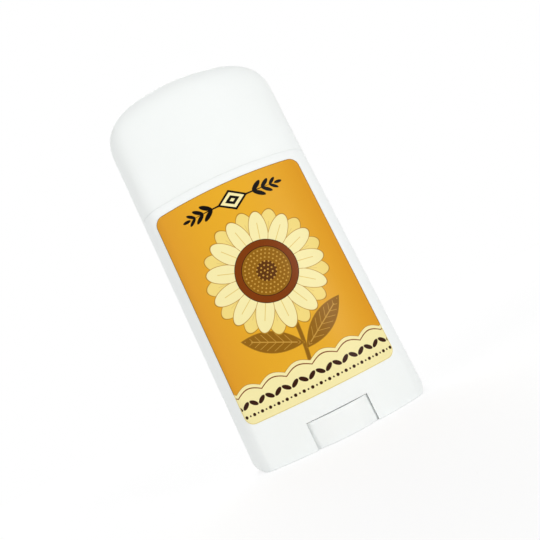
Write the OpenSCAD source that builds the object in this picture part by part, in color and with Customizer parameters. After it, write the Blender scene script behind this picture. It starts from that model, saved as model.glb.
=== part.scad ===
// Twist-up deodorant stick: an oval barrel with a domed pull-off cap. A hand wheel in the base
// turns a long screw, and the screw raises a platform that carries the stick.
// Lengths are millimetres. +Z is up, the front faces -Y, and the origin is the middle of the base.

/* [Pack] */
// Width of the pack, side to side
pack_w = 58; // [50:0.5:66]
// Depth of the pack, front to back
pack_d = 33; // [30:0.5:38]
// Height of the closed pack, base to top of the cap
pack_h = 124.4; // [116:0.2:134]
// Radius of the gently curved front and back faces
face_r = 55; // [48:0.5:70]
// Distance from each side of the pack to the crease between its face and its side
crease_in = 4.7; // [4.2:0.1:6]
// Radius of the lower corners, seen from the front
corner_r = 3.5; // [1.5:0.1:5]

/* [Barrel] */
// Thickness of the outer shell
shell_wall = 1.4; // [1:0.05:1.6]
// Height of the neck that the cap slides over
neck_h = 15; // [11:0.5:17]
// Thickness of the neck's outer wall
neck_wall = 1.1; // [0.8:0.05:1.3]
// Distance from the outside of the pack to the inside of the tube that holds the stick
tube_inset = 4.9; // [4.6:0.05:5.6]
// Thickness of the inner tube
tube_wall = 1.0; // [0.8:0.05:1.2]
// Height of the top of the floor that carries the screw
floor_z = 13; // [12.5:0.1:16]
// Thickness of the floor
floor_t = 1.5; // [1:0.1:2]
// Thickness of the ribs between the shell and the tube
rib_t = 0.9; // [0.6:0.05:1.4]
// Distance of the front and back ribs from the middle of the pack
rib_x = 13; // [10:0.5:16]
// Radius of the collar round the screw's bearing
collar_r = 5.2; // [4.4:0.1:6.5]
// Width of the windows for the hand wheel
window_w = 20; // [17:0.2:24]
// Height of the windows, open through the base
window_h = 8.25; // [7:0.05:9.5]
// Radius of the snap beads on the neck
bead_r = 0.5; // [0.3:0.05:0.7]
// Height that the snap beads stand out of the neck
bead_proud = 0.12; // [0.05:0.01:0.16]
// Distance of the snap beads above the parting line
bead_up = 4.5; // [3:0.5:8]
// Angle that each snap bead spans on the face's arc
bead_span = 14; // [6:1:24]

/* [Cap] */
// Height of the cap, from the line where it meets the barrel
cap_h = 39.3; // [36:0.1:44]
// Thickness of the cap
cap_wall = 1.3; // [1:0.05:1.5]
// Clearance between the cap and the neck
cap_clear = 0.25; // [0.2:0.01:0.4]
// Gap between the cap's rim and the barrel's shoulder
cap_seat = 0.05; // [0.03:0.01:0.3]
// Height of the domed part of the cap
dome_h = 15; // [10:0.5:18]
// Fullness of the dome, 2 for an ellipse and more for a squarer shoulder
dome_m = 2.6; // [2:0.1:3.5]

/* [Hand wheel] */
// Distance that the wheel stands out of the windows at their middle
wheel_proud = 0.9; // [0.4:0.05:1.2]
// Gap between the wheel and the barrel round it
wheel_gap = 0.35; // [0.25:0.05:0.6]
// Gap between the wheel and the upper edges of the windows
wheel_top_gap = 0.2; // [0.15:0.05:0.5]
// Gap between the wheel and the surface that the pack stands on
wheel_lift = 0.1; // [0.05:0.05:0.6]
// Height of the hub's lower end above the rim's
hub_up = 1.1; // [0.5:0.1:1.6]
// Thickness of the rim
rim_t = 1.5; // [1.2:0.1:2.2]
// Thickness of the web at the top of the wheel
web_t = 1.3; // [1:0.1:1.8]
// Chamfer on the edges of the rim
rim_chamfer = 0.3; // [0.1:0.05:0.6]
// Number of ribs under the wheel
wheel_ribs = 8; // [4:1:12]
// Thickness of the ribs under the wheel
wheel_rib_t = 0.9; // [0.6:0.1:1.4]
// Radius of the hub
hub_r = 4.6; // [4:0.1:6]

/* [Screw] */
// Radius of the screw's core
core_r = 2.2; // [1.8:0.05:2.3]
// Radius over the thread
thread_r = 3.3; // [3.1:0.05:3.6]
// Rise of the thread in one turn
thread_lead = 5; // [4:0.25:6]
// Width of the thread where it meets the core
thread_root = 2; // [1.4:0.1:2.2]
// Width of the thread at its crest
thread_crest = 1; // [0.6:0.1:1.2]
// Number of flat steps in one turn of the thread
thread_steps = 18; // [12:2:24]
// Distance of the screw's tip below the top of the neck
tip_drop = 1.1; // [0.5:0.1:4]
// Height of the cone at the screw's tip
tip_cone = 1.2; // [0.5:0.1:1.8]
// Radius of the screw's tip
tip_r = 1.2; // [0.5:0.1:1.8]
// Radius of the journal that turns in the floor
journal_r = 3; // [2.9:0.05:3.2]
// Running clearance of the journal, on the radius
journal_clear = 0.08; // [0.05:0.01:0.1]
// Radius of the flange that rests on the floor
flange_r = 5; // [4.5:0.1:6]
// Thickness of the flange
flange_t = 1.2; // [0.8:0.1:1.5]
// Gap between the flange and the floor
flange_gap = 0.1; // [0.05:0.01:0.2]
// Side of the square stub that the wheel is pressed on
stub_side = 4; // [3.4:0.1:4.1]
// Gap between the stub and the wheel's square hole
stub_gap = 0.03; // [0.01:0.01:0.1]

/* [Platform] */
// Clearance between the platform and the tube
platform_clear = 0.3; // [0.2:0.05:0.5]
// Thickness of the platform's plate
plate_t = 1.4; // [1:0.1:2]
// Depth of the wiper skirt below the plate
skirt_h = 2; // [1.8:0.1:2.6]
// Thickness of the wiper skirt
skirt_t = 0.9; // [0.6:0.05:1.2]
// Thickness of the threaded boss
boss_wall = 1.6; // [1.2:0.1:2.4]
// Height of the boss above the underside of the plate
boss_h = 8; // [7:0.5:10]
// Clearance between the screw and what slides along it
screw_clear = 0.3; // [0.2:0.02:0.4]
// Thickness of each thread lug in the boss
lug_t = 1.9; // [1.4:0.1:2]
// Width of each thread lug
lug_w = 2; // [1.4:0.1:2.2]
// Number of thread lugs
lugs = 3; // [2:1:3]
// Height of the anchor ribs that grip the stick
anchor_h = 4; // [2.5:0.5:5.5]
// Thickness of the anchor ribs
anchor_t = 1; // [0.8:0.1:1.4]
// Length of the long anchor rib, across the pack
anchor_w = 36; // [28:1:40]
// Length of the short anchor rib, front to back
anchor_d = 17; // [14:0.5:19]
// Radius of the drain holes in the plate
drain_r = 1.1; // [0.8:0.1:1.4]

/* [Stick] */
// Clearance between the stick and the tube
stick_clear = 0.15; // [0.1:0.05:0.3]
// Height of the stick that is left, plate to top
stick_h = 29.3; // [24:0.1:30]
// Height of the stick's domed top
stick_dome_h = 9; // [6:0.5:12]
// Height that the stick stands above the neck, as shown
stick_show = 10; // [1:0.5:12]

/* [Label] */
// Width of the label, straight across
label_w = 48.5; // [40:0.5:50]
// Distance of the label's middle to the left of the pack's middle
label_left = 0.9; // [0:0.1:1.5]
// Height of the label's lower edge
label_z0 = 14; // [11:0.1:20]
// Distance of the label's upper edge below the cap
label_drop = 2.9; // [1.5:0.1:20]
// Radius of the label's corners
label_r = 2.8; // [1:0.1:6]
// Thickness of the label
label_t = 0.12; // [0.08:0.01:0.2]
// Thickness of the adhesive under the label
label_glue = 0.02; // [0.01:0.01:0.05]

/* [Hidden] */
$fn = 96;
plastic = "white";

// Overlap that lets one solid cut or join another cleanly
eps = 0.01;
// Length by which a cut runs past what it cuts
past = 1;

// Outline of the pack: two face arcs and two side arcs
face_cy = face_r - pack_d / 2;
crease_x = pack_w / 2 - crease_in;
crease_y = sqrt(face_r * face_r - crease_x * crease_x) - face_cy;
side_cx = (pack_w * pack_w / 4 - crease_x * crease_x - crease_y * crease_y) / (2 * crease_in);
side_r = pack_w / 2 - side_cx;

// Steps on each face arc, on each side arc and up the domes of the lofted pieces
face_steps = 16;
side_steps = 12;
dome_steps = 11;
// Angle at which a dome ends in a small flat top
dome_end_angle = 89;

// Barrel
parting_z = pack_h - cap_h;
label_z1 = parting_z - label_drop;
neck_z = parting_z + neck_h;
neck_inset = cap_wall + cap_clear;
floor_under = floor_z - floor_t;
wheel_top = window_h - wheel_top_gap;
wheel_r = pack_d / 2 + wheel_proud;
shoulder_t = shell_wall;
rim_top_t = neck_wall;

// Screw
tip_z = neck_z - tip_drop;
flange_z = floor_z + flange_gap;
flange_top = flange_z + flange_t;
hub_z0 = wheel_lift + hub_up;
wheel_rib_z0 = hub_z0 + hub_up;
// Depth that the ribs and the thread are sunk in what carries them
rooted = 0.25;
thread_pitch_angle = atan(thread_lead / (PI * (core_r + thread_r)));

// Platform, at its height as shown
stick_top = neck_z + stick_show;
plate_top = stick_top - stick_h;
plate_z = plate_top - plate_t;
bore_r = thread_r + screw_clear;
boss_r = bore_r + boss_wall;
platform_inset = tube_inset + platform_clear;
stick_inset = tube_inset + stick_clear;
// Height of the lowest thread lug above the underside of the plate
lug_up = boss_h / 2 - thread_lead / 3;
drain_x = anchor_w / 3;
drain_y = anchor_d / 4;

// Corner of the outline at a given inset, where a face arc meets a side arc
function crease(inset) =
    let (a = face_r - inset, b = side_r - inset, d = norm([side_cx, face_cy]),
         along = (d * d + a * a - b * b) / (2 * d), off = sqrt(a * a - along * along),
         ux = side_cx / d, uy = -face_cy / d)
    [along * ux - off * uy, face_cy + along * uy + off * ux];

// Points round the outline at a given inset, counterclockwise from the left end of the front face
function outline(inset) =
    let (c = crease(inset), a = face_r - inset, b = side_r - inset,
         fa = asin(c.x / a), sa = asin(-c.y / b))
    concat(
        [for (k = [0 : face_steps - 1]) let (t = fa * (2 * k / face_steps - 1))
            [a * sin(t), face_cy - a * cos(t)]],
        [for (k = [0 : side_steps - 1]) let (t = sa * (2 * k / side_steps - 1))
            [side_cx + b * cos(t), b * sin(t)]],
        [for (k = [0 : face_steps - 1]) let (t = fa * (1 - 2 * k / face_steps))
            [a * sin(t), a * cos(t) - face_cy]],
        [for (k = [0 : side_steps - 1]) let (t = sa * (1 - 2 * k / side_steps))
            [-side_cx - b * cos(t), b * sin(t)]]);

// One ring of a loft: the outline drawn in by a scale, at a height
function ring(points, shrink, z) = [for (p = points) [p.x * shrink, p.y * shrink, z]];

// Rings of a dome that rises by h from z0, from its foot to its small flat top
function dome(points, z0, h) =
    [for (k = [0 : dome_steps]) let (t = dome_end_angle * k / dome_steps)
        ring(points, pow(cos(t), 2 / dome_m), z0 + h * pow(sin(t), 2 / dome_m))];

function reversed(list) = [for (k = [len(list) - 1 : -1 : 0]) list[k]];

// Solid skin over a stack of rings, closed by a flat face at each end
module skin(rings) {
    n = len(rings[0]);
    last = len(rings) - 1;
    points = [for (r = rings) each r];
    sides = [for (j = [0 : last - 1], i = [0 : n - 1]) let (k = (i + 1) % n)
        [j * n + i, (j + 1) * n + i, (j + 1) * n + k, j * n + k]];
    ends = [[for (i = [0 : n - 1]) i], [for (i = [n - 1 : -1 : 0]) last * n + i]];
    polyhedron(points, concat(sides, ends));
}

// Exact outline of the pack, drawn in by inset
module section(inset) {
    intersection() {
        translate([0, face_cy]) circle(face_r - inset);
        translate([0, -face_cy]) circle(face_r - inset);
        union() {
            square([2 * crease(inset).x - crease_in / 2, 2 * pack_d], center = true);
            translate([side_cx, 0]) circle(side_r - inset);
            translate([-side_cx, 0]) circle(side_r - inset);
        }
    }
}

// Solid of the pack's outline between two heights
module block(inset, z0, z1) {
    translate([0, 0, z0]) linear_extrude(z1 - z0) section(inset);
}

// Wall between two insets and two heights
module wall(outer, inner, z0, z1) {
    difference() {
        block(outer, z0, z1);
        block(inner, z0 - past, z1 + past);
    }
}

// Upright slab whose lower corners are rounded, seen from the front
module rounded_front(z1) {
    rotate([90, 0, 0]) linear_extrude(2 * pack_d, center = true) {
        translate([-pack_w / 2 - past, corner_r])
            square([pack_w + 2 * past, z1 - corner_r + past]);
        translate([corner_r - pack_w / 2, 0]) square([pack_w - 2 * corner_r, corner_r + eps]);
        translate([corner_r - pack_w / 2, corner_r]) circle(corner_r);
        translate([pack_w / 2 - corner_r, corner_r]) circle(corner_r);
    }
}

module barrel_shell() {
    difference() {
        intersection() {
            wall(0, shell_wall, 0, parting_z - eps);
            rounded_front(parting_z);
        }
        translate([-window_w / 2, -pack_d, -past])
            cube([window_w, 2 * pack_d, window_h + past]);
        translate([0, 0, -past]) cylinder(r = wheel_r + wheel_gap, h = window_h + past);
    }
}

// Ribs that tie the inner tube to the shell
module barrel_ribs() {
    intersection() {
        wall(shell_wall - eps, tube_inset - tube_wall + eps, floor_under, parting_z - eps);
        union() {
            translate([-pack_w / 2, -rib_t / 2, 0]) cube([pack_w, rib_t, parting_z]);
            for (x = [-rib_x, rib_x])
                translate([x - rib_t / 2, -pack_d / 2, 0]) cube([rib_t, pack_d, parting_z]);
        }
    }
}

// Snap bead on the neck, along the arc of one face
module snap_bead() {
    translate([0, face_cy, parting_z + bead_up])
        rotate([0, 0, -90 - bead_span / 2])
            rotate_extrude(angle = bead_span)
                translate([face_r - neck_inset + bead_proud - bead_r, 0]) circle(bead_r, $fn = 32);
}

module barrel() {
    color(plastic) difference() {
        union() {
            barrel_shell();
            wall(0, neck_inset + neck_wall, parting_z - shoulder_t, parting_z);
            wall(neck_inset, neck_inset + neck_wall, parting_z - eps, neck_z - eps);
            wall(neck_inset, tube_inset, neck_z - rim_top_t, neck_z);
            wall(tube_inset - tube_wall, tube_inset, floor_under, neck_z - eps);
            block(tube_inset - tube_wall, floor_under, floor_z);
            barrel_ribs();
            snap_bead();
            rotate([0, 0, 180]) snap_bead();
            translate([0, 0, window_h]) cylinder(r = collar_r, h = floor_z - window_h - eps);
        }
        cylinder(r = journal_r + journal_clear, h = floor_z + past);
    }
}

// Label on the front face, which follows the outline of the barrel
module front_label() {
    w = label_w - 2 * label_r;
    h = label_z1 - label_z0;
    color("goldenrod") intersection() {
        wall(-label_glue - label_t, -label_glue, label_z0, label_z1);
        translate([-label_left, 0, (label_z0 + label_z1) / 2]) rotate([90, 0, 0])
            linear_extrude(pack_d) {
                square([w, h], center = true);
                square([label_w, h - 2 * label_r], center = true);
                for (x = [-w / 2, w / 2], z = [label_r - h / 2, h / 2 - label_r])
                    translate([x, z]) circle(label_r);
            }
    }
}

// Domed cap, an even shell open at the bottom
module cap() {
    outer = outline(0);
    inner = outline(cap_wall);
    rim_z = parting_z + cap_seat;
    foot_z = pack_h - dome_h;
    color(plastic) skin(concat(
        reversed(dome(outer, foot_z, dome_h)),
        [ring(outer, 1, rim_z), ring(inner, 1, rim_z)],
        dome(inner, foot_z, dome_h - cap_wall)));
}

// Rim of the hand wheel with chamfered edges
module wheel_rim() {
    rotate_extrude() polygon([
        [wheel_r - rim_t, wheel_lift],
        [wheel_r - rim_chamfer, wheel_lift],
        [wheel_r, wheel_lift + rim_chamfer],
        [wheel_r, wheel_top - rim_chamfer],
        [wheel_r - rim_chamfer, wheel_top],
        [wheel_r - rim_t, wheel_top]]);
}

module hand_wheel() {
    hole = stub_side + 2 * stub_gap;
    rib_h = wheel_top - web_t - wheel_rib_z0;
    rib_l = wheel_r - rim_t - hub_r;
    color(plastic) difference() {
        union() {
            wheel_rim();
            translate([0, 0, wheel_top - web_t]) cylinder(r = wheel_r - rim_t + eps, h = web_t);
            translate([0, 0, hub_z0]) cylinder(r = hub_r, h = wheel_top - hub_z0 - eps);
            for (k = [0 : wheel_ribs - 1]) rotate([0, 0, 360 * k / wheel_ribs])
                translate([hub_r - rooted, -wheel_rib_t / 2, wheel_rib_z0])
                    cube([rib_l + 2 * rooted, wheel_rib_t, rib_h + eps]);
        }
        translate([-hole / 2, -hole / 2, 0]) cube([hole, hole, window_h]);
    }
}

// Thread ridge, a right-hand helix swept round the core. It is turned so that its groove meets
// the lugs of the platform at the height where the platform is shown.
module thread() {
    z0 = flange_top + thread_root;
    z1 = tip_z - tip_cone - thread_root / 2;
    steps = floor((z1 - z0) / thread_lead * thread_steps);
    groove_z = plate_z + lug_up;
    start = 180 + 360 * (z0 - groove_z) / thread_lead;
    sunk = core_r - rooted;
    skin([for (k = [0 : steps])
        let (a = start + 360 * k / thread_steps, z = z0 + thread_lead * k / thread_steps,
             c = cos(a), s = sin(a))
        [[sunk * c, sunk * s, z - thread_root / 2], [sunk * c, sunk * s, z + thread_root / 2],
         [thread_r * c, thread_r * s, z + thread_crest / 2],
         [thread_r * c, thread_r * s, z - thread_crest / 2]]]);
}

module screw_spindle() {
    color(plastic) {
        thread();
        translate([0, 0, flange_top - eps])
            cylinder(r = core_r, h = tip_z - tip_cone - flange_top + eps);
        translate([0, 0, tip_z - tip_cone]) cylinder(r1 = core_r, r2 = tip_r, h = tip_cone);
        translate([0, 0, flange_z]) cylinder(r = flange_r, h = flange_t);
        translate([0, 0, wheel_top]) cylinder(r = journal_r, h = flange_z - wheel_top + eps);
        translate([-stub_side / 2, -stub_side / 2, hub_z0])
            cube([stub_side, stub_side, wheel_top - hub_z0 + eps]);
    }
}

// Anchor ribs on the plate, which the stick is cast round
module anchor_ribs() {
    for (size = [[anchor_w, anchor_t], [anchor_t, anchor_d]])
        translate([-size.x / 2, -size.y / 2, plate_top - eps])
            cube([size.x, size.y, anchor_h + eps]);
}

// Lugs inside the boss that ride in the thread's groove
module thread_lugs() {
    reach = bore_r - core_r - screw_clear;
    for (k = [0 : lugs - 1]) rotate([0, 0, 360 * k / lugs])
        translate([bore_r - reach, 0, plate_z + lug_up + thread_lead * k / lugs])
            rotate([thread_pitch_angle, 0, 0]) translate([0, -lug_w / 2, -lug_t / 2])
                cube([reach + boss_wall / 2, lug_w, lug_t]);
}

module platform() {
    color(plastic) {
        difference() {
            union() {
                block(platform_inset, plate_z, plate_top);
                wall(platform_inset, platform_inset + skirt_t, plate_z - skirt_h, plate_z + eps);
                anchor_ribs();
                translate([0, 0, plate_z]) cylinder(r = boss_r, h = boss_h);
            }
            translate([0, 0, plate_z - past]) cylinder(r = bore_r, h = boss_h + 2 * past);
            for (x = [-drain_x, drain_x], y = [-drain_y, drain_y])
                translate([x, y, plate_z - past]) cylinder(r = drain_r, h = plate_t + 2 * past);
        }
        thread_lugs();
    }
}

// The stick, cast on the platform and round the screw
module stick() {
    points = outline(stick_inset);
    foot_z = stick_top - stick_dome_h;
    boss_top = plate_z + boss_h;
    color("ivory") difference() {
        skin(concat(reversed(dome(points, foot_z, stick_dome_h)), [ring(points, 1, plate_top)]));
        translate([0, 0, plate_top - past]) cylinder(r = boss_r, h = boss_top - plate_top + past);
        translate([0, 0, plate_top - past]) cylinder(r = bore_r, h = stick_h + 2 * past);
        anchor_ribs();
    }
}

barrel();
front_label();
cap();
hand_wheel();
screw_spindle();
platform();
stick();
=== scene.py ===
"""Looks of a twist-up deodorant stick. Each piece but the platform is rebuilt as a fine mesh, in
the frame of the CAD model. Lengths are millimetres until a mesh is made, and metres after that."""

import math

import bmesh
import bpy
import numpy as np
from mathutils import Matrix, Vector


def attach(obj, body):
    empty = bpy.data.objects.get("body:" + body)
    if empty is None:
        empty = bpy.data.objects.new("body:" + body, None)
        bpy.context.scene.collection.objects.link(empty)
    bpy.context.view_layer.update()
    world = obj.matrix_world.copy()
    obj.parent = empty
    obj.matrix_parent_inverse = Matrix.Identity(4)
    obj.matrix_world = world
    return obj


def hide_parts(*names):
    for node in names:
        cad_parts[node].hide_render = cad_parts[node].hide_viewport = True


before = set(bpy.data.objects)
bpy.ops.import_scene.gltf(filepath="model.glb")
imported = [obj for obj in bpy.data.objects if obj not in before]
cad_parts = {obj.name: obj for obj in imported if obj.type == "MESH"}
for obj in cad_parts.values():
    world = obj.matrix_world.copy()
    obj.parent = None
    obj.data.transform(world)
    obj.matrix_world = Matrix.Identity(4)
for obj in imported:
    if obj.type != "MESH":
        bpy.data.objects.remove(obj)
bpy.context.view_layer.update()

MM = 0.001

# Sizes of the pack, as in the CAD source
PACK_W, PACK_D, PACK_H = 58.0, 33.0, 124.4
FACE_R, CREASE_IN = 55.0, 4.7
SHELL_WALL, NECK_H, NECK_WALL = 1.4, 15.0, 1.1
TUBE_INSET, TUBE_WALL = 4.9, 1.0
FLOOR_Z, FLOOR_T = 13.0, 1.5
RIB_T, RIB_X, COLLAR_R = 0.9, 13.0, 5.2
WINDOW_HALF, WINDOW_H = 10.0, 8.25
BEAD_R, BEAD_PROUD, BEAD_UP, BEAD_HALF_W = 0.5, 0.12, 4.5, 6.7
CAP_H, CAP_WALL, CAP_CLEAR, CAP_SEAT = 39.3, 1.3, 0.25, 0.05
DOME_H, DOME_M = 15.0, 2.6
WHEEL_PROUD, WHEEL_TOP_GAP, WHEEL_LIFT, HUB_UP = 0.9, 0.2, 0.1, 1.1
RIM_T, WEB_T, RIM_CHAMFER, HUB_R = 1.5, 1.3, 0.3, 4.6
WHEEL_RIBS, WHEEL_RIB_T = 8, 0.9
CORE_R, THREAD_R, THREAD_LEAD = 2.2, 3.3, 5.0
THREAD_ROOT, THREAD_CREST, TIP_DROP, TIP_CONE, TIP_R = 2.0, 1.0, 1.1, 1.2, 1.2
JOURNAL_R, JOURNAL_CLEAR = 3.0, 0.08
FLANGE_R, FLANGE_T, FLANGE_GAP, STUB_SIDE, STUB_GAP = 5.0, 1.2, 0.1, 4.0, 0.03
PLATE_T, BOSS_WALL, BOSS_H, SCREW_CLEAR = 1.4, 1.6, 8.0, 0.3
STICK_INSET, STICK_H, STICK_DOME_H, STICK_SHOW = 5.05, 29.3, 9.0, 10.0
LABEL_W, LABEL_LEFT, LABEL_Z0, LABEL_DROP = 48.5, 0.9, 14.0, 2.9
LABEL_R, LABEL_T, LABEL_GLUE = 2.8, 0.12, 0.02

FACE_CY = FACE_R - PACK_D / 2
CREASE_X = PACK_W / 2 - CREASE_IN
CREASE_Y = math.sqrt(FACE_R**2 - CREASE_X**2) - FACE_CY
SIDE_CX = (PACK_W**2 / 4 - CREASE_X**2 - CREASE_Y**2) / (2 * CREASE_IN)
SIDE_R = PACK_W / 2 - SIDE_CX
PARTING_Z = PACK_H - CAP_H
NECK_Z = PARTING_Z + NECK_H
NECK_INSET = CAP_WALL + CAP_CLEAR
FLOOR_UNDER = FLOOR_Z - FLOOR_T
WHEEL_R = PACK_D / 2 + WHEEL_PROUD
WHEEL_TOP = WINDOW_H - WHEEL_TOP_GAP
HUB_Z0 = WHEEL_LIFT + HUB_UP
STICK_TOP = NECK_Z + STICK_SHOW
PLATE_TOP = STICK_TOP - STICK_H
PLATE_Z = PLATE_TOP - PLATE_T
BORE_R = THREAD_R + SCREW_CLEAR
BOSS_R = BORE_R + BOSS_WALL
LABEL_Z1 = PARTING_Z - LABEL_DROP

# Columns of a ring, from the middle of the front to the middle of the right side
WINDOW_STEPS, FACE_STEPS, SOFT_STEPS, SIDE_STEPS = 10, 14, 6, 16
# Radius of the softened crease between a face and a side: it grows from the foot of the pack to
# its top. Deep insets, such as the inner tube, have one of their own.
FOOT_SOFT, TOP_SOFT, DEEP_SOFT = 3.5, 13.0, 7.5


# Shapes

def crease_soft(z):
    """Radius of the softened crease at a height."""
    return FOOT_SOFT + (TOP_SOFT - FOOT_SOFT) * z / PACK_H


def crease_fillet(soft):
    """Centre of the arc that softens the crease, and the angles at which the two walls meet it."""
    span = math.hypot(SIDE_CX, FACE_CY)
    far, near = FACE_R - soft, SIDE_R - soft
    along = (span**2 + far**2 - near**2) / (2 * span)
    off = math.sqrt(far**2 - along**2)
    ux, uy = SIDE_CX / span, -FACE_CY / span
    cx, cy = along * ux - off * uy, FACE_CY + along * uy + off * ux
    return cx, cy, math.asin(cx / far), math.atan2(cx - SIDE_CX, -cy)


def quadrant(inset, soft=FOOT_SOFT):
    """Outline of the pack drawn in by inset, from the middle of the front to that of the right."""
    cx, cy, face_end, side_start = crease_fillet(soft)
    columns = WINDOW_STEPS + FACE_STEPS + SOFT_STEPS + SIDE_STEPS + 1
    inset = np.broadcast_to(np.asarray(inset, float), (columns,))
    out = np.zeros((columns, 2))
    faces = WINDOW_STEPS + FACE_STEPS + 1
    r = FACE_R - inset[:faces]
    k = np.arange(faces)
    share = np.clip((k - WINDOW_STEPS) / FACE_STEPS, 0, 1)
    x = np.where(k <= WINDOW_STEPS, WINDOW_HALF * k / WINDOW_STEPS,
                 WINDOW_HALF + share * (r * math.sin(face_end) - WINDOW_HALF))
    out[:faces] = np.column_stack([x, FACE_CY - np.sqrt(r**2 - x**2)])
    stop = faces + SOFT_STEPS
    a = face_end + (side_start - face_end) * np.arange(1, SOFT_STEPS + 1) / SOFT_STEPS
    r = soft - inset[faces:stop]
    out[faces:stop] = np.column_stack([cx + r * np.sin(a), cy - r * np.cos(a)])
    a = side_start + (math.pi / 2 - side_start) * np.arange(1, SIDE_STEPS + 1) / SIDE_STEPS
    r = SIDE_R - inset[stop:]
    out[stop:] = np.column_stack([SIDE_CX + r * np.sin(a), -r * np.cos(a)])
    return out


def all_round(quarter, z):
    """Ring of points from a quarter of it, counterclockwise from the middle of the front."""
    q = np.column_stack([quarter, np.broadcast_to(np.asarray(z, float), len(quarter))])
    back = q[::-1]
    return np.concatenate([q[:-1], (back * [1, -1, 1])[:-1],
                           (q * [-1, -1, 1])[:-1], (back * [-1, 1, 1])[:-1]])


def ring(inset, z, soft=None, shrink=1.0):
    """Outline of the pack drawn in by inset and then shrunk, at a height."""
    return all_round(quadrant(inset, soft or crease_soft(np.max(z))) * shrink, z)


def round_ring(radius, z):
    """Circle whose points lie in the same directions as the points of the pack's outline."""
    q = quadrant(0.0)
    return all_round(q / np.linalg.norm(q, axis=1)[:, None] * radius, z)


def lathe(n):
    """Angles of a turned piece with n columns, and a function that makes a ring of it."""
    angle = 2 * math.pi * np.arange(n) / n

    def turned(radius, z):
        r = np.broadcast_to(np.asarray(radius, float), (n,))
        return np.column_stack([r * np.cos(angle), r * np.sin(angle), np.full(n, z)])

    return angle, turned


def square_reach(half, angle):
    """Distance from the axis to the side of a square of that half width, at each angle."""
    return half / np.maximum(abs(np.cos(angle)), abs(np.sin(angle)))


def skin(rings, closed=False, left_out=None):
    """Vertices and quads over a stack of rings. left_out(j, i) is true for quads to leave out."""
    n = len(rings[0])
    verts = np.concatenate(rings)
    count = len(rings)
    faces = []
    for j in range(count if closed else count - 1):
        k = (j + 1) % count
        for i in range(n):
            if left_out is None or not left_out(j, i):
                faces.append((j * n + i, j * n + (i + 1) % n, k * n + (i + 1) % n, k * n + i))
    return verts, faces


def fan(verts, faces, first, n, tip):
    """Closes a ring of n vertices that starts at first with triangles to a tip."""
    at = len(verts)
    faces.extend((first + i, first + (i + 1) % n, at) for i in range(n))
    return np.vstack([verts, tip]), faces


def slab(lo, hi, turn=0.0):
    """Corners and faces of an upright box, turned about Z."""
    c, s = math.cos(turn), math.sin(turn)
    corners = [(x, y, z) for z in (lo[2], hi[2]) for x, y in
               ((lo[0], lo[1]), (hi[0], lo[1]), (hi[0], hi[1]), (lo[0], hi[1]))]
    verts = np.array([(c * x - s * y, s * x + c * y, z) for x, y, z in corners])
    faces = [(0, 3, 2, 1), (4, 5, 6, 7)] + [(i, (i + 1) % 4, 4 + (i + 1) % 4, 4 + i)
                                            for i in range(4)]
    return verts, faces


def join(*shapes):
    """One shape out of several, which stay separate shells."""
    verts, faces, start = [], [], 0
    for v, f in shapes:
        verts.append(v)
        faces.extend(tuple(i + start for i in face) for face in f)
        start += len(v)
    return np.concatenate(verts), faces


def dome_rings(inset, foot, height, steps, soft=None):
    """Rings of a dome from its foot to just below its tip."""
    rings = []
    for k in range(steps):
        t = math.pi / 2 * k / steps
        rise = math.sin(t) ** (2 / DOME_M)
        rings.append(ring(inset, foot + height * rise, soft, math.cos(t) ** (2 / DOME_M)))
    return rings


# Angle in degrees from which an edge between two faces shows as sharp
SHARP = 50


def piece(name, shape, body, node, material, bevel=None):
    """Makes a mesh object that rides on a body, stands for a CAD node and takes a slot's finish."""
    verts, faces = shape
    mesh = bpy.data.meshes.new(name)
    mesh.from_pydata((np.asarray(verts) * MM).tolist(), [], faces)
    bm = bmesh.new()
    bm.from_mesh(mesh)
    bmesh.ops.remove_doubles(bm, verts=bm.verts, dist=1e-7)
    bmesh.ops.dissolve_degenerate(bm, edges=bm.edges, dist=1e-7)
    if bevel:
        edges = [e for e in bm.edges if bevel["where"](*[v.co / MM for v in e.verts])]
        bmesh.ops.bevel(bm, geom=edges, offset=bevel["width"] * MM, segments=bevel["steps"],
                        profile=0.5, affect="EDGES", clamp_overlap=True)
    bmesh.ops.recalc_face_normals(bm, faces=bm.faces)
    for face in bm.faces:
        face.smooth = True
    bm.to_mesh(mesh)
    bm.free()
    mesh.set_sharp_from_angle(angle=math.radians(SHARP))
    obj = bpy.data.objects.new(name, mesh)
    bpy.context.scene.collection.objects.link(obj)
    mesh.materials.append(material)
    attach(obj, body)
    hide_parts(node)
    return obj


# Materials

def linear(r, g, b):
    """Linear colour from the 0 to 255 values of a screen colour."""
    def channel(value):
        c = value / 255
        return c / 12.92 if c <= 0.04045 else ((c + 0.055) / 1.055) ** 2.4
    return (channel(r), channel(g), channel(b), 1.0)


class Wire:
    """A number in a material's node tree, so that a formula reads as a formula."""

    def __init__(self, tree, socket):
        self.tree = tree
        self.socket = socket

    def math(self, operation, *others, clamp=False):
        node = self.tree.nodes.new("ShaderNodeMath")
        node.operation = operation
        node.use_clamp = clamp
        for entry, value in zip(node.inputs, (self, *others)):
            if isinstance(value, Wire):
                self.tree.links.new(value.socket, entry)
            else:
                entry.default_value = value
        return Wire(self.tree, node.outputs[0])

    def __add__(self, other):
        return self.math("ADD", other)

    def __sub__(self, other):
        return self.math("SUBTRACT", other)

    def __rsub__(self, other):
        return self.math("MULTIPLY_ADD", -1.0, other)

    def __mul__(self, other):
        return self.math("MULTIPLY", other)

    def __truediv__(self, other):
        return self.math("DIVIDE", other)

    def __abs__(self):
        return self.math("ABSOLUTE")

    def hypot(self, other):
        return (self * self + other * other).math("SQRT")

    def least(self, other):
        return self.math("MINIMUM", other)

    def most(self, other):
        return self.math("MAXIMUM", other)

    def repeated(self, pitch):
        """Distance from the middle of the copy that a point falls in, for copies at a pitch."""
        return ((self / pitch).math("FRACT") - 0.5) * pitch


# Width over which a printed edge fades, in millimetres
INK_EDGE = 0.07


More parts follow.
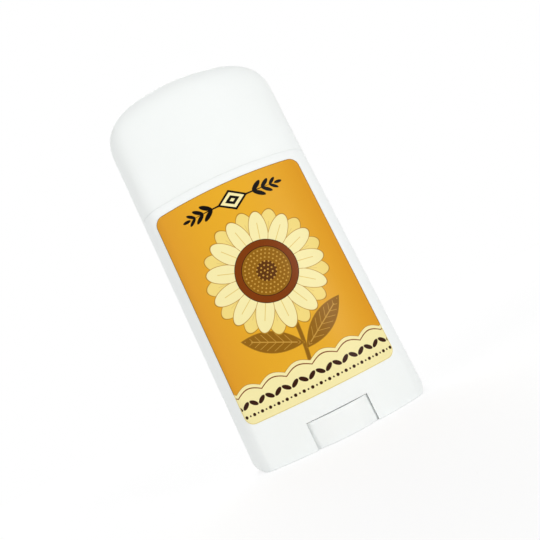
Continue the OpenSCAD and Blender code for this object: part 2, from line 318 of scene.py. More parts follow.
def ellipse(along, across, half_l, half_w):
    """About the distance from an ellipse, negative inside it."""
    return ((along / half_l).hypot(across / half_w) - 1.0) * half_w


def inside(distance):
    """Mask of a printed shape, 1 where its distance is negative, with a slightly soft edge."""
    return (distance * (-1 / INK_EDGE) + 0.5).math("MULTIPLY", 1.0, clamp=True)


def new_material(name, color, roughness):
    """A material with its node tree and its shader, whose colour and roughness are set."""
    material = bpy.data.materials.new(name)
    material.use_nodes = True
    material.diffuse_color = color
    shader = material.node_tree.nodes["Principled BSDF"]
    shader.inputs["Base Color"].default_value = color
    shader.inputs["Roughness"].default_value = roughness
    return material, material.node_tree, shader


def noise(tree, coords, scale, detail):
    """Procedural noise from 0 to 1 at a place."""
    node = tree.nodes.new("ShaderNodeTexNoise")
    node.inputs["Scale"].default_value = scale
    node.inputs["Detail"].default_value = detail
    tree.links.new(coords, node.inputs["Vector"])
    return Wire(tree, node.outputs["Fac"])


def stretched(tree, coords, scale, turn=(0.0, 0.0, 0.0)):
    """Coordinates that are turned and scaled apart, for noise that is drawn out into streaks."""
    node = tree.nodes.new("ShaderNodeMapping")
    node.inputs["Rotation"].default_value = turn
    node.inputs["Scale"].default_value = scale
    tree.links.new(coords, node.inputs["Vector"])
    return node.outputs["Vector"]


def blend(tree, mask, below, above):
    """Colour that goes from below to above with a mask; either is a colour or a socket."""
    node = tree.nodes.new("ShaderNodeMix")
    node.data_type = "RGBA"
    tree.links.new(mask.socket, node.inputs[0])
    for entry, value in ((node.inputs[6], below), (node.inputs[7], above)):
        if isinstance(value, tuple):
            entry.default_value = value
        else:
            tree.links.new(value, entry)
    return node.outputs[2]


def relief(tree, shader, height, distance):
    """Fine relief of a surface, by a bump of that many millimetres."""
    bump = tree.nodes.new("ShaderNodeBump")
    bump.inputs["Strength"].default_value = 1.0
    bump.inputs["Distance"].default_value = distance * MM
    tree.links.new(height.socket, bump.inputs["Height"])
    tree.links.new(bump.outputs["Normal"], shader.inputs["Normal"])


# How strongly the hairline scuffs of the plastic show
SCUFFS = 0.35


def moulded_plastic(name, color, shade, roughness, grain=0.012):
    """White moulded plastic: faint mottling, uneven gloss, fine grain and hairline scuffs."""
    material, tree, shader = new_material(name, color, roughness)
    shader.inputs["Specular IOR Level"].default_value = 0.25
    coords = tree.nodes.new("ShaderNodeTexCoord").outputs["Object"]
    cloud = noise(tree, coords, 55.0, 3.0)
    tree.links.new(blend(tree, cloud, color, shade), shader.inputs["Base Color"])
    fine = noise(tree, coords, 1500.0, 2.0)
    hair = noise(tree, stretched(tree, coords, (160.0, 160.0, 3200.0), (0.2, 0.5, 0.3)), 1.0, 2.0)
    scuff = (hair - 0.62).math("MULTIPLY", 6.0, clamp=True)
    gloss = cloud * 0.10 + (roughness - 0.05) + scuff * (0.12 * SCUFFS)
    tree.links.new(gloss.socket, shader.inputs["Roughness"])
    relief(tree, shader, fine + scuff * (-SCUFFS), grain)
    return material


INKS = {
    "amber": linear(229, 170, 42),
    # Darker amber towards the film's sides, painted shade of the curved face
    "amber_side_painted_shade": linear(220, 152, 35),
    # Dark amber along the film's edge, painted shade of its edge
    "amber_edge_painted_shade": linear(150, 104, 28),
    "cream": linear(243, 232, 171),
    "cream_deep": linear(239, 215, 126),
    # Darker cream along the film's edge, painted shade of its edge
    "cream_edge_painted_shade": linear(226, 206, 134),
    "line": linear(178, 128, 34),
    "vein": linear(226, 200, 116),
    "brown": linear(125, 57, 8),
    "bark": linear(52, 22, 8),
    "olive": linear(144, 98, 20),
    "seed": linear(196, 148, 62),
    "heart": linear(92, 52, 12),
    "ink": linear(8, 4, 2),
}
PETALS = 13
# Heights of the middle of the flower and of the crest
FLOWER_V, CREST_V = 52.5, 76.4


class Print:
    """Inks laid one over the other on the label. u runs across the film and v up it, in mm."""

    def __init__(self, tree, coords):
        split = tree.nodes.new("ShaderNodeSeparateXYZ")
        tree.links.new(coords, split.inputs[0])
        self.tree = tree
        self.x = Wire(tree, split.outputs["X"]) / MM
        self.u = (self.x / FACE_R).math("ARCSINE") * FACE_R + LABEL_LEFT
        self.v = Wire(tree, split.outputs["Z"]) / MM
        # The ground darkens towards both sides of the film: painted shade of the curved face
        aside = self.u / (LABEL_W / 2)
        self.picture = blend(tree, aside * aside, INKS["amber"], INKS["amber_side_painted_shade"])

    def paint(self, distance, ink):
        """Lays an ink where the distance from its shape is negative."""
        self.picture = blend(self.tree, inside(distance), self.picture, INKS[ink])

    def outlined(self, distance, ink, outline="line", width=0.16):
        """Lays an ink with a line of another around it."""
        self.paint(distance - width, outline)
        self.paint(distance, ink)

    def from_edge(self):
        """Distance in from the edge of the film, which has round corners."""
        aside = abs(self.x + LABEL_LEFT) - (LABEL_W / 2 - LABEL_R)
        up = abs(self.v - (LABEL_Z0 + LABEL_Z1) / 2) - ((LABEL_Z1 - LABEL_Z0) / 2 - LABEL_R)
        corner = aside.most(0.0).hypot(up.most(0.0))
        return LABEL_R - corner - aside.most(up).least(0.0)


def draw_leaves(label):
    """Stem with two ribbed leaves below the flower."""
    u, v = label.u, label.v
    foot_v, stem_half, bend = 24.0, 0.5, 0.006
    bow = (v - foot_v) * (FLOWER_V - v) * bend
    label.outlined((abs(u - bow) - stem_half).most(v - FLOWER_V), "olive")
    length, half_w, root_u, rib_pitch = 18.5, 3.1, 0.8, 2.3
    for side, lift, root_v in ((1, 0.56, 27.2), (-1, 0.44, 29.0)):
        c, s = math.cos(lift), math.sin(lift)
        du, dv = (u - root_u) * side, v - root_v
        along, across = du * c + dv * s, abs(dv * c - du * s)
        leaf = across - (along / length) * ((length - along) / length) * (4 * half_w)
        label.outlined(leaf, "olive")
        label.paint((across - 0.16).most(along - (length - 3.0)).most(2.0 - along), "seed")
        rib = abs((along - across * 1.1).repeated(rib_pitch)) - 0.12
        label.paint(rib.most(leaf + 0.5), "seed")


def draw_daisy(label):
    """Two rows of petals, a dark ring and a disc with rings of seeds."""
    du, dv = label.u, label.v - FLOWER_V
    rho = du.hypot(dv)
    turn = du.math("ARCTAN2", dv)
    step = 2 * math.pi / PETALS
    for shift, middle, half_l, half_w, ink in ((0.5, 12.6, 6.3, 2.9, "cream_deep"),
                                               (0.0, 12.2, 6.0, 2.7, "cream")):
        fold = ((turn / step + shift).math("FRACT") - 0.5) * step
        along, across = rho * fold.math("COSINE"), abs(rho * fold.math("SINE"))
        petal = ellipse(along - middle, across, half_l, half_w)
        label.outlined(petal, ink)
        seam = (step / 2 - abs(fold)) * rho - 0.08
        label.paint(seam.most(petal), "line")
        mark = (across - 0.12).most(along - (middle + 2.6)).most(middle - 3.4 - along)
        label.paint(mark, "vein")
    ring_r, disc_r, heart_r, pitch = 9.4, 7.3, 3.1, 1.17
    label.outlined(rho - ring_r, "brown", "bark", 0.2)
    label.outlined(rho - disc_r, "olive", "bark", 0.2)
    label.paint(rho - heart_r, "heart")
    row = (rho / pitch).math("FLOOR")
    count = row * 6.0 + 3.0
    radius = (row + 0.5) * pitch
    share = (turn * count / (2 * math.pi) + row * 0.5).math("FRACT") - 0.5
    seed = (share / count * radius * (2 * math.pi)).hypot(rho - radius) - 0.27
    label.paint(seed.most(rho - (disc_r - 0.3)), "seed")


def draw_band(label):
    """Scalloped cream band at the foot, with a garland of small leaves and a row of beads."""
    u, v = label.u, label.v
    scallop, rise, edge_v, garland_v, bead_v = 8.1, 1.5, 23.6, 19.7, 16.6
    edge = abs((u * (math.pi / scallop)).math("SINE")) * rise + edge_v
    label.outlined(v - edge, "cream")
    label.paint(abs(v - edge + 1.15) - 0.17, "brown")
    tilt, pitch = 0.62, 2.7
    c, s = math.cos(tilt), math.sin(tilt)
    du = u.repeated(pitch)
    flip = ((u / (2 * pitch)).math("FRACT") - 0.5).math("SIGN")
    dv = (v - garland_v) * flip
    along, across = du * c + dv * s, dv * c - du * s
    label.paint(ellipse(along, across, 1.45, 0.66), "bark")
    label.paint((u + pitch / 2).repeated(pitch).hypot(v - bead_v) - 0.5, "bark")
    label.paint(du.hypot(v - bead_v) - 0.28, "bark")
    # The cream darkens along the film's edge as painted shade of the edge
    label.paint((label.from_edge() - 0.22).most(v - edge), "cream_edge_painted_shade")


def draw_crest(label):
    """Framed lozenge between two sprays of small leaves, near the top."""
    au, av = abs(label.u), abs(label.v - CREST_V)
    stem_half, reach, tilt = 0.42, 14.2, 0.62
    c, s = math.cos(tilt), math.sin(tilt)
    label.paint((av - (reach - au) * (stem_half / reach)).most(au - reach), "ink")
    for at, half_l, half_w in ((6.7, 2.1, 0.72), (9.7, 1.8, 0.62), (12.4, 1.5, 0.52)):
        du = au - at
        along, across = du * c + av * s - half_l, av * c - du * s
        label.paint(ellipse(along, across, half_l, half_w), "ink")
    label.paint(ellipse(au - (reach + 1.2), av, 1.3, 0.5), "ink")
    for half_w, half_h, ink in ((5.0, 3.4, "ink"), (3.9, 2.6, "cream"), (2.4, 1.55, "ink"),
                                (0.9, 0.58, "cream")):
        label.paint((au / half_w + av / half_h - 1.0) * half_h, ink)


def film_print():
    """Printed label: amber ground with painted shade towards its sides, a daisy with two leaves, a
    cream band and a crest.
    """
    material, tree, shader = new_material("label_print", INKS["amber"], 0.4)
    shader.inputs["Specular IOR Level"].default_value = 0.07
    coords = tree.nodes.new("ShaderNodeTexCoord").outputs["Object"]
    grain, cloud = noise(tree, coords, 900.0, 2.0), noise(tree, coords, 40.0, 2.0)
    label = Print(tree, coords)
    # A dark border along the film's edge is painted shade of the edge
    label.paint(label.from_edge() - 0.2, "amber_edge_painted_shade")
    draw_leaves(label)
    draw_daisy(label)
    draw_band(label)
    draw_crest(label)
    tree.links.new(label.picture, shader.inputs["Base Color"])
    tree.links.new((cloud * 0.08 + 0.32).socket, shader.inputs["Roughness"])
    relief(tree, shader, grain, 0.008)
    return material


def stick_wax():
    """Soft opaque wax: warm white, faintly streaked along the way that it was last wiped."""
    color, shade = linear(241, 236, 220), linear(231, 224, 203)
    material, tree, shader = new_material("stick_wax", color, 0.5)
    shader.inputs["Subsurface Weight"].default_value = 0.15
    shader.inputs["Subsurface Radius"].default_value = (1.0, 0.8, 0.5)
    shader.inputs["Subsurface Scale"].default_value = 0.002
    coords = tree.nodes.new("ShaderNodeTexCoord").outputs["Object"]
    cloud = noise(tree, coords, 120.0, 4.0)
    tree.links.new(blend(tree, cloud, color, shade), shader.inputs["Base Color"])
    streak = noise(tree, stretched(tree, coords, (60.0, 700.0, 300.0)), 1.0, 4.0)
    tree.links.new((streak * 0.2 + 0.4).socket, shader.inputs["Roughness"])
    relief(tree, shader, streak + cloud * 0.6, 0.12)
    return material


# Pieces

# Rounding of inner edges, of the two rims at the parting line, and of the foot and the neck's top
EDGE, RIM_EDGE, FOOT_EDGE = 0.3, 0.03, 0.35
# Share of a rounding at which its one middle row lies
ROUND_MID = 0.3
# Gap between the rows that a straight wall has below its dome
ROW_GAP = 8.0
# Past a place across, the rounding of the foot grows by a rate for each millimetre
CORNER_START, CORNER_RATE = 26.0, 1.05
# The jambs of the windows stop short of the inner wall, clear of the wheel
JAMB_X, JAMB_DEPTH = 9.72, 0.95
# Slight rounding of the windows' outer edges, and of the wheel's upper edge
WINDOW_EDGE, WHEEL_CRISP = 0.15, 0.08


def bulge_of_bead(z):
    """How far the neck stands out at a height, along its snap beads."""
    reach = BEAD_R - BEAD_PROUD
    rise = math.sqrt(max(BEAD_R**2 - (z - PARTING_Z - BEAD_UP) ** 2, 0.0)) - reach
    return max(rise, 0.0)


def window_ring(inset, z):
    """Ring of the barrel at the height of its windows, with its columns at the jambs moved."""
    quarter = quadrant(inset, crease_soft(np.max(z)))
    depth = min(np.broadcast_to(inset, len(quarter))[WINDOW_STEPS], JAMB_DEPTH)
    quarter[WINDOW_STEPS] = JAMB_X, -face_y(JAMB_X, depth)
    return all_round(quarter, z)


def barrel_shape():
    """Shell with rounded lower corners, shoulder, neck, inner tube and floor as one skin."""
    out_x = quadrant(0.0)[:, 0]
    foot = np.maximum(FOOT_EDGE, FOOT_EDGE + CORNER_RATE * (out_x - CORNER_START))
    flat = SHELL_WALL - EDGE
    most = np.arccos(np.clip(1 - flat / foot, 0, 1))
    rings = [window_ring(0, WINDOW_H), window_ring(0, WINDOW_H / 2)]
    steps = 7
    for k in range(steps + 1):
        t = most * k / steps
        rings.append(window_ring(foot * (1 - np.cos(t)), foot * (1 - np.sin(t))))
    low = foot * (1 - np.sin(most))
    rings += [window_ring(flat, low),
              window_ring(flat + EDGE * (1 - ROUND_MID), low + EDGE * ROUND_MID),
              window_ring(SHELL_WALL, low + EDGE), window_ring(SHELL_WALL, WINDOW_H / 2),
              window_ring(SHELL_WALL, WINDOW_H)]
    window_rows = len(rings) - 1

    neck_in, tube_out = NECK_INSET + NECK_WALL, TUBE_INSET - TUBE_WALL
    bearing = JOURNAL_R + JOURNAL_CLEAR
    rings += [ring(SHELL_WALL, WINDOW_H + SHELL_WALL / 2),
              ring(SHELL_WALL, PARTING_Z - SHELL_WALL), ring(neck_in, PARTING_Z - SHELL_WALL),
              ring(neck_in, NECK_Z - NECK_WALL), ring(tube_out, NECK_Z - NECK_WALL, DEEP_SOFT),
              ring(tube_out, FLOOR_UNDER, DEEP_SOFT),
              round_ring(COLLAR_R, FLOOR_UNDER), round_ring(COLLAR_R, WINDOW_H),
              round_ring(bearing + EDGE, WINDOW_H), round_ring(bearing, WINDOW_H + EDGE),
              round_ring(bearing, FLOOR_Z - EDGE), round_ring(bearing + EDGE, FLOOR_Z),
              round_ring(COLLAR_R + 1, FLOOR_Z),
              ring(TUBE_INSET + EDGE, FLOOR_Z, DEEP_SOFT),
              ring(TUBE_INSET, FLOOR_Z + EDGE, DEEP_SOFT),
              ring(TUBE_INSET, NECK_Z - EDGE, DEEP_SOFT),
              ring(TUBE_INSET - EDGE * ROUND_MID, NECK_Z - EDGE * ROUND_MID, DEEP_SOFT),
              ring(TUBE_INSET - EDGE, NECK_Z, DEEP_SOFT),
              ring(NECK_INSET + FOOT_EDGE, NECK_Z),
              ring(NECK_INSET + FOOT_EDGE * ROUND_MID, NECK_Z - FOOT_EDGE * ROUND_MID),
              ring(NECK_INSET, NECK_Z - FOOT_EDGE)]
    bead_z = PARTING_Z + BEAD_UP
    along_bead = np.clip((BEAD_HALF_W - out_x) / 0.5 + 0.5, 0, 1)
    # Rows over the bead, from above it to below it
    for dz in (0.6, 0.32, 0.24, 0.12, 0.0, -0.12, -0.24, -0.32, -0.6):
        rings.append(ring(NECK_INSET - along_bead * bulge_of_bead(bead_z + dz), bead_z + dz))
    rings += [ring(NECK_INSET, PARTING_Z + 0.25), ring(NECK_INSET - 0.07, PARTING_Z + 0.07),
              ring(NECK_INSET - 0.25, PARTING_Z), ring(RIM_EDGE, PARTING_Z),
              ring(RIM_EDGE * ROUND_MID, PARTING_Z - RIM_EDGE * ROUND_MID),
              ring(0, PARTING_Z - RIM_EDGE)]
    rings += [ring(0, z) for z in np.linspace(PARTING_Z - 2, WINDOW_H + 2, 9)]

    n = len(rings[0])
    half = n // 2

    def in_window(i):
        return i % half < WINDOW_STEPS or i % half >= half - WINDOW_STEPS

    def left_out(j, i):
        return j < window_rows and in_window(i)

    verts, faces = skin(rings, closed=True, left_out=left_out)
    top = window_rows * n
    for i in range(n):
        if in_window(i):
            faces.append((i, (i + 1) % n, top + (i + 1) % n, top + i))
    for i in (WINDOW_STEPS, half - WINDOW_STEPS, half + WINDOW_STEPS, n - WINDOW_STEPS):
        faces.append(tuple(j * n + i for j in range(window_rows + 1)))
    return verts, faces


def barrel_ribs():
    """Ribs that tie the inner tube to the shell, rooted a little in both."""
    root, top = 0.3, PARTING_Z - SHELL_WALL / 2
    outer, inner = SHELL_WALL - root, TUBE_INSET - TUBE_WALL + root
    shapes = []
    for side in (-1, 1):
        xs = sorted((side * (PACK_W / 2 - outer), side * (PACK_W / 2 - inner)))
        shapes.append(slab((xs[0], -RIB_T / 2, FLOOR_UNDER), (xs[1], RIB_T / 2, top)))
        ys = [side * (math.sqrt((FACE_R - inset) ** 2 - RIB_X**2) - FACE_CY)
              for inset in (outer, inner)]
        for x in (-RIB_X, RIB_X):
            shapes.append(slab((x - RIB_T / 2, min(ys), FLOOR_UNDER),
                               (x + RIB_T / 2, max(ys), top)))
    return join(*shapes)


def window_edge(a, b):
    """True for the outer edges of the windows above the foot, which are slightly rounded."""
    on_side = all(abs(abs(p.x) - JAMB_X) < 1e-3 and FOOT_EDGE - 1e-3 < p.z < WINDOW_H + 1e-3
                  for p in (a, b))
    on_top = all(abs(p.z - WINDOW_H) < 1e-3 and abs(p.x) < WINDOW_HALF + 1e-3 for p in (a, b))
    outer = all(abs(p.y) > face_y(p.x, SHELL_WALL / 4) for p in (a, b))
    return outer and (on_side or on_top) and abs(a.y) + abs(b.y) > PACK_D / 2


def face_y(x, inset):
    """Distance of a face from the middle plane of the pack, at x."""
    return math.sqrt((FACE_R - inset) ** 2 - x**2) - FACE_CY


def cap_shape():
    """Domed cap with its inside and its rim, closed by a fan at each crown."""
    rim = PARTING_Z + CAP_SEAT
    foot = PACK_H - DOME_H
    steps = 36
    inner = dome_rings(CAP_WALL, foot, DOME_H - CAP_WALL, steps)
    outer = dome_rings(0, foot, DOME_H, steps)
    rings = inner[::-1] + [
        ring(CAP_WALL, foot - ROW_GAP), ring(CAP_WALL, rim + 0.5),
        ring(CAP_WALL - 0.12, rim + 0.16), ring(CAP_WALL - 0.4, rim), ring(RIM_EDGE, rim),
        ring(RIM_EDGE * ROUND_MID, rim + RIM_EDGE * ROUND_MID), ring(0, rim + RIM_EDGE),
        ring(0, foot - 2 * ROW_GAP), ring(0, foot - ROW_GAP)] + outer
    n = len(rings[0])
    verts, faces = skin(rings)
    verts, faces = fan(verts, faces, 0, n, (0, 0, PACK_H - CAP_WALL))
    return fan(verts, faces, (len(rings) - 1) * n, n, (0, 0, PACK_H))


def wheel_shape():
    """Hand wheel: smooth rim, web and hub with a square hole, as one skin, and its ribs."""
    angle, turned = lathe(240)
    square = square_reach(STUB_SIDE / 2 + STUB_GAP, angle)
    web, inner, c, crisp = WHEEL_TOP - WEB_T, WHEEL_R - RIM_T, RIM_CHAMFER, WHEEL_CRISP
    rows = [(square, WHEEL_TOP), (square, HUB_Z0), (HUB_R - 0.3, HUB_Z0), (HUB_R, HUB_Z0 + 0.3),
            (HUB_R, web - 0.5), (HUB_R + 0.15, web - 0.15), (HUB_R + 0.5, web),
            (inner - 0.5, web), (inner - 0.15, web - 0.15), (inner, web - 0.5),
            (inner, WHEEL_LIFT + 0.2), (inner + 0.2, WHEEL_LIFT)]
    turn = np.linspace(0, math.pi / 2, 5)
    low = [(WHEEL_R - c + c * math.sin(t), WHEEL_LIFT + c - c * math.cos(t)) for t in turn]
    high = [(WHEEL_R - crisp + crisp * math.cos(t), WHEEL_TOP - crisp + crisp * math.sin(t))
            for t in turn]
    rows += low + high + [(inner, WHEEL_TOP), (HUB_R + 3, WHEEL_TOP)]
    shapes = [skin([turned(r, z) for r, z in rows], closed=True)]
    root = 0.25
    for k in range(WHEEL_RIBS):
        shapes.append(slab((HUB_R - root, -WHEEL_RIB_T / 2, HUB_Z0 + HUB_UP),
                           (inner + root, WHEEL_RIB_T / 2, web + root),
                           2 * math.pi * k / WHEEL_RIBS))
    return join(*shapes)


def screw_shape():
    """Square stub, journal, flange and a right-hand thread with a conical tip."""
    n = 72
    angle, turned = lathe(n)
    flange_z = FLOOR_Z + FLANGE_GAP
    flange_top = flange_z + FLANGE_T
    tip = NECK_Z - TIP_DROP
    start, end = flange_top + 0.02, tip - TIP_CONE
    square = square_reach(STUB_SIDE / 2, angle)
    lower = [turned(square, HUB_Z0), turned(square, WHEEL_TOP), turned(JOURNAL_R, WHEEL_TOP),
             turned(JOURNAL_R, flange_z), turned(FLANGE_R - 0.2, flange_z),
             turned(FLANGE_R, flange_z + 0.2), turned(FLANGE_R, flange_top - 0.2),
             turned(FLANGE_R - 0.2, flange_top), turned(CORE_R + 0.3, flange_top),
             turned(CORE_R, start)]
    verts, faces = skin(lower)
    bottom = fan(verts, faces, 0, n, (0, 0, HUB_Z0))
    upper = [turned(CORE_R, end), turned(TIP_R + 0.25, tip - 0.3), turned(TIP_R, tip)]
    verts, faces = skin(upper)
    top = fan(verts, faces, (len(upper) - 1) * n, n, (0, 0, tip))

    # Rows across one pitch of the thread: distance from the crest's middle, and height
    high = THREAD_R - CORE_R
    root_half = THREAD_ROOT / 2 - 0.09
    crest_half = THREAD_CREST / 2
    rows = [(-root_half - 0.3, 0), (-root_half, 0.06), (-crest_half - 0.06, 0.9),
            (-crest_half + 0.08, 1), (crest_half - 0.08, 1), (crest_half + 0.06, 0.9),
            (root_half, 0.06), (root_half + 0.3, 0), (THREAD_LEAD / 2, 0)]
    groove_z = PLATE_Z + BOSS_H / 2 - THREAD_LEAD / 3
    phase = (groove_z - THREAD_LEAD / 2) / THREAD_LEAD
    first = math.floor((start - THREAD_LEAD) / THREAD_LEAD - phase) - 1
    turns = math.ceil((end - start) / THREAD_LEAD) + 4
    points, quads = [], []
    count = turns * n
    for c in range(count):
        a = 2 * math.pi * c / n
        for offset, share in rows:
            z = (first + phase + c / n) * THREAD_LEAD + offset
            fade = min(max((z - start - 1) / 1.5, 0), max((end - 0.6 - z) / 1.5, 0), 1)
            r = CORE_R + high * share * fade
            points.append((r * math.cos(a), r * math.sin(a), min(max(z, start), end)))
    per = len(rows)
    for c in range(count - 1):
        for j in range(per):
            nxt = (c * per + j + 1, (c + 1) * per + j + 1) if j < per - 1 else (
                (c + n) * per, (c + n + 1) * per)
            if max(nxt) < count * per:
                quads.append((c * per + j, (c + 1) * per + j, nxt[1], nxt[0]))
    return join(bottom, (np.array(points), quads), top)


def stick_shape():
    """Part-used stick: domed top worn a little uneven, and the hole that the screw leaves."""
    foot = STICK_TOP - STICK_DOME_H
    hole_top = PLATE_Z + BOSS_H
    edge, wear = 0.4, 0.16
    base = ring(STICK_INSET, 0.0, DEEP_SOFT)
    reach = np.linalg.norm(base[:, :2], axis=1)

    def worn(points):
        """Lowers the domed top by a slow wave, not at its foot and fully at its crown."""
        x, y = points[:, 0], points[:, 1]
        wave = (np.sin(x * 0.33 + 0.6) * np.cos(y * 0.42 + 0.2) + np.sin(x * 0.71 + y * 0.3)) / 2
        high = np.clip((points[:, 2] - foot) / STICK_DOME_H, 0, 1)
        points[:, 2] -= wear * (1 + wave) * high
        return points

    steps = 30
    rings = [ring(STICK_INSET + edge, PLATE_TOP, DEEP_SOFT),
             ring(STICK_INSET, PLATE_TOP + edge, DEEP_SOFT),
             ring(STICK_INSET, foot - ROW_GAP, DEEP_SOFT)]
    dome = dome_rings(STICK_INSET, foot, STICK_DOME_H, steps, DEEP_SOFT)
    rings += [worn(r) for r in dome if r[:, 1].max() > BORE_R + 1.0]
    for radius, drop in ((BORE_R + 0.5, 0.0), (BORE_R + 0.15, 0.08), (BORE_R, 0.3)):
        share = np.clip(radius / reach, 0, 1)
        z = foot + STICK_DOME_H * (1 - share**DOME_M) ** (1 / DOME_M)
        circle = round_ring(radius, 0.0)
        circle[:, 2] = z
        circle = worn(circle)
        circle[:, 2] -= drop
        rings.append(circle)
    rings += [round_ring(BORE_R, hole_top), round_ring(BOSS_R, hole_top),
              round_ring(BOSS_R, PLATE_TOP)]
    return skin(rings, closed=True)


def label_shape():
    """Thin film that follows the front face and laps over the left crease, with round corners."""
    columns, rows = 120, 80
    half = LABEL_W / 2
    t = np.sin(np.linspace(-1, 1, columns) * math.pi / 2)
    s = (np.sin(np.linspace(-1, 1, rows) * math.pi / 2) + 1) / 2
    depth = np.clip(LABEL_R - (half - abs(t) * half), 0, LABEL_R)
    lift = LABEL_R - np.sqrt(LABEL_R**2 - depth**2)
    x = t * half - LABEL_LEFT

    def front(px, z, inset):
        """Y of the front, its softened crease and the side beyond, at a place across."""
        ax = abs(px)
        soft = crease_soft(z)
        cx, cy, face_end, side_start = crease_fillet(soft)
        if ax <= (FACE_R - inset) * math.sin(face_end):
            return -face_y(ax, inset)
        r = soft - inset
        if ax <= cx + r * math.sin(side_start):
            return cy - math.sqrt(r**2 - (ax - cx) ** 2)
        return -math.sqrt((SIDE_R - inset) ** 2 - (ax - SIDE_CX) ** 2)

    points = []
    for inset in (-LABEL_GLUE - LABEL_T, -LABEL_GLUE):
        for k in range(columns):
            low, high = LABEL_Z0 + lift[k], LABEL_Z1 - lift[k]
            points += [(x[k], front(x[k], z, inset), z) for z in low + (high - low) * s]
    faces = []
    layer = columns * rows
    for k in range(columns - 1):
        for j in range(rows - 1):
            quad = [k * rows + j, (k + 1) * rows + j, (k + 1) * rows + j + 1, k * rows + j + 1]
            faces.append(tuple(quad))
            faces.append(tuple(layer + i for i in quad[::-1]))
    border = ([k * rows for k in range(columns)]
              + [(columns - 1) * rows + j for j in range(1, rows)]
              + [k * rows + rows - 1 for k in range(columns - 2, -1, -1)]
              + [j for j in range(rows - 2, 0, -1)])
    for a, b in zip(border, border[1:] + border[:1]):
        faces.append((b, a, layer + a, layer + b))
    return np.array(points), faces


white, white_shade = linear(243, 246, 245), linear(240, 243, 242)
barrel_white = moulded_plastic("barrel_plastic", white, white_shade, 0.52)
cap_white = moulded_plastic("cap_plastic", white, linear(240, 243, 241), 0.52)
wheel_white = moulded_plastic("wheel_plastic", linear(244, 246, 245), white_shade, 0.45, 0.02)
screw_white = moulded_plastic("screw_plastic", linear(241, 242, 240), linear(236, 238, 235), 0.45)
platform_white = moulded_plastic("platform_plastic", linear(240, 241, 238),
                                 linear(234, 236, 232), 0.55)

piece("barrel_shell", join(barrel_shape(), barrel_ribs()), "barrel", "barrel",
      barrel_white, bevel={"where": window_edge, "width": WINDOW_EDGE, "steps": 3})
piece("label_film", label_shape(), "barrel", "front_label", film_print())
piece("cap_shell", cap_shape(), "cap", "cap", cap_white)
piece("wheel_body", wheel_shape(), "turning_unit", "hand_wheel", wheel_white)
piece("screw_body", screw_shape(), "turning_unit", "screw_spindle", screw_white)
piece("stick_body", stick_shape(), "stick_unit", "stick", stick_wax())
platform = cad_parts["platform"]
platform.data.materials.clear()
platform.data.materials.append(platform_white)


# Floor, light and camera

AMBIENT = 0.5
# Colour of the floor's paper, how bright it is where the lamps reach it, and the share of it that
# the camera sees, which is what holds the shadow of the pack
PAPER, PAPER_LIT, PAPER_SHOWN = 0.95, 0.77, 0.25
# Half the side of the floor in metres. It ends where the lamps still light it, because paper that
# they don't reach shows as a grey band
FLOOR_REACH = 1.2


def seen_directly(tree):
    """1 for rays from the camera and through gloss or glass, 0 for rays that light a surface."""
    path = tree.nodes.new("ShaderNodeLightPath")
    camera = Wire(tree, path.outputs["Is Camera Ray"])
    glossy = Wire(tree, path.outputs["Is Glossy Ray"])
    return camera.most(glossy).most(Wire(tree, path.outputs["Is Transmission Ray"]))


def make_world():
    """White world for the camera, gloss and glass, which lights surfaces with AMBIENT."""
    world = bpy.data.worlds.new("studio")
    bpy.context.scene.world = world
    world.use_nodes = True
    tree = world.node_tree
    background = tree.nodes["Background"]
    background.inputs["Color"].default_value = (1, 1, 1, 1)
    strength = seen_directly(tree) * (1 - AMBIENT) + AMBIENT
    tree.links.new(strength.socket, background.inputs["Strength"])


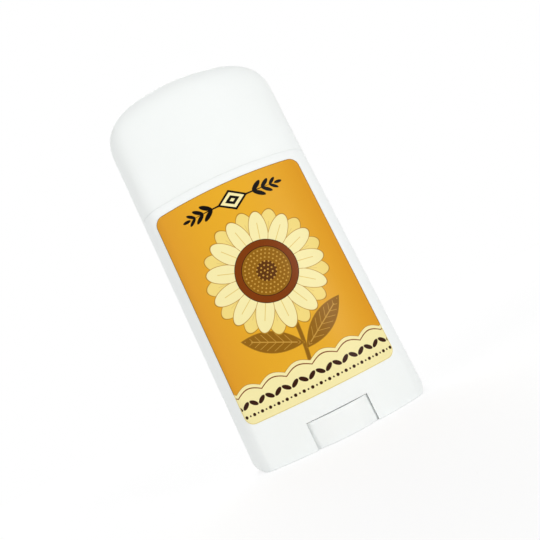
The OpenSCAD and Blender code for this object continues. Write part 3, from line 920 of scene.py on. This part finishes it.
def make_floor():
    """Pale floor: a glow for the camera, gloss and glass, and its lit paper with the shadow."""
    mesh = bpy.data.meshes.new("floor")
    r = FLOOR_REACH
    mesh.from_pydata([(-r, -r, 0), (r, -r, 0), (r, r, 0), (-r, r, 0)], [], [(0, 1, 2, 3)])
    floor = bpy.data.objects.new("floor", mesh)
    bpy.context.scene.collection.objects.link(floor)
    material = bpy.data.materials.new("floor")
    material.use_nodes = True
    tree = material.node_tree
    tree.nodes.clear()
    output = tree.nodes.new("ShaderNodeOutputMaterial")
    total = tree.nodes.new("ShaderNodeAddShader")
    paper = tree.nodes.new("ShaderNodeBsdfDiffuse")
    glow = tree.nodes.new("ShaderNodeEmission")
    seen = seen_directly(tree)
    shown = 1 - seen * (1 - PAPER_SHOWN)
    color = blend(tree, shown, (0.0, 0.0, 0.0, 1.0), (PAPER, PAPER, PAPER, 1.0))
    tree.links.new(color, paper.inputs["Color"])
    # Where it is lit, the floor adds up to a strength of 1 with the share of its paper
    strength = seen * (1 - PAPER_SHOWN * PAPER_LIT)
    tree.links.new(strength.socket, glow.inputs["Strength"])
    tree.links.new(paper.outputs[0], total.inputs[0])
    tree.links.new(glow.outputs[0], total.inputs[1])
    tree.links.new(total.outputs[0], output.inputs["Surface"])
    mesh.materials.append(material)


def make_light(name, azimuth, elevation, distance, size, power):
    """Round softbox aimed at the middle of the pack; azimuth 0 is in front, and 90 at the right."""
    data = bpy.data.lights.new(name, "AREA")
    data.shape = "DISK"
    data.size = size
    data.energy = power
    light = bpy.data.objects.new(name, data)
    bpy.context.scene.collection.objects.link(light)
    a, e = math.radians(azimuth), math.radians(elevation)
    away = Vector((math.sin(a) * math.cos(e), -math.cos(a) * math.cos(e), math.sin(e)))
    light.location = away * distance + Vector((0, 0, PACK_H / 2 * MM))
    light.rotation_euler = away.to_track_quat("Z", "Y").to_euler()


def make_camera():
    """Camera at the photograph's viewing angle, fitted to the outline, the label and the window."""
    turn, height, distance = math.radians(-5.38), 28.31, 180.18
    pitch, roll, swing = math.radians(8.32), math.radians(-25.98), math.radians(-0.56)
    place = Vector((math.sin(turn) * distance, -math.cos(turn) * distance, height)) * MM
    yaw = turn + swing
    ahead = Vector((-math.sin(yaw) * math.cos(pitch), math.cos(yaw) * math.cos(pitch),
                    math.sin(pitch)))
    right = ahead.cross(Vector((0, 0, 1))).normalized()
    up = right.cross(ahead)
    side = math.cos(roll) * right + math.sin(roll) * up
    top = math.cos(roll) * up - math.sin(roll) * right
    data = bpy.data.cameras.new("camera")
    data.sensor_width = 36.0
    data.lens = 37.487
    data.clip_start, data.clip_end = 0.01, 20.0
    camera = bpy.data.objects.new("camera", data)
    bpy.context.scene.collection.objects.link(camera)
    axes = Matrix((side, top, -ahead)).transposed()
    camera.matrix_world = Matrix.Translation(place) @ axes.to_4x4()
    bpy.context.scene.camera = camera


make_world()
make_floor()
make_light("key", 33, 4, 1.5, 0.25, 8.3)
make_light("left", -58, 12, 1.5, 1.0, 6.4)
make_light("back", 180, 36, 1.5, 1.0, 8.0)
make_camera()
bpy.context.scene.view_settings.view_transform = "Standard"
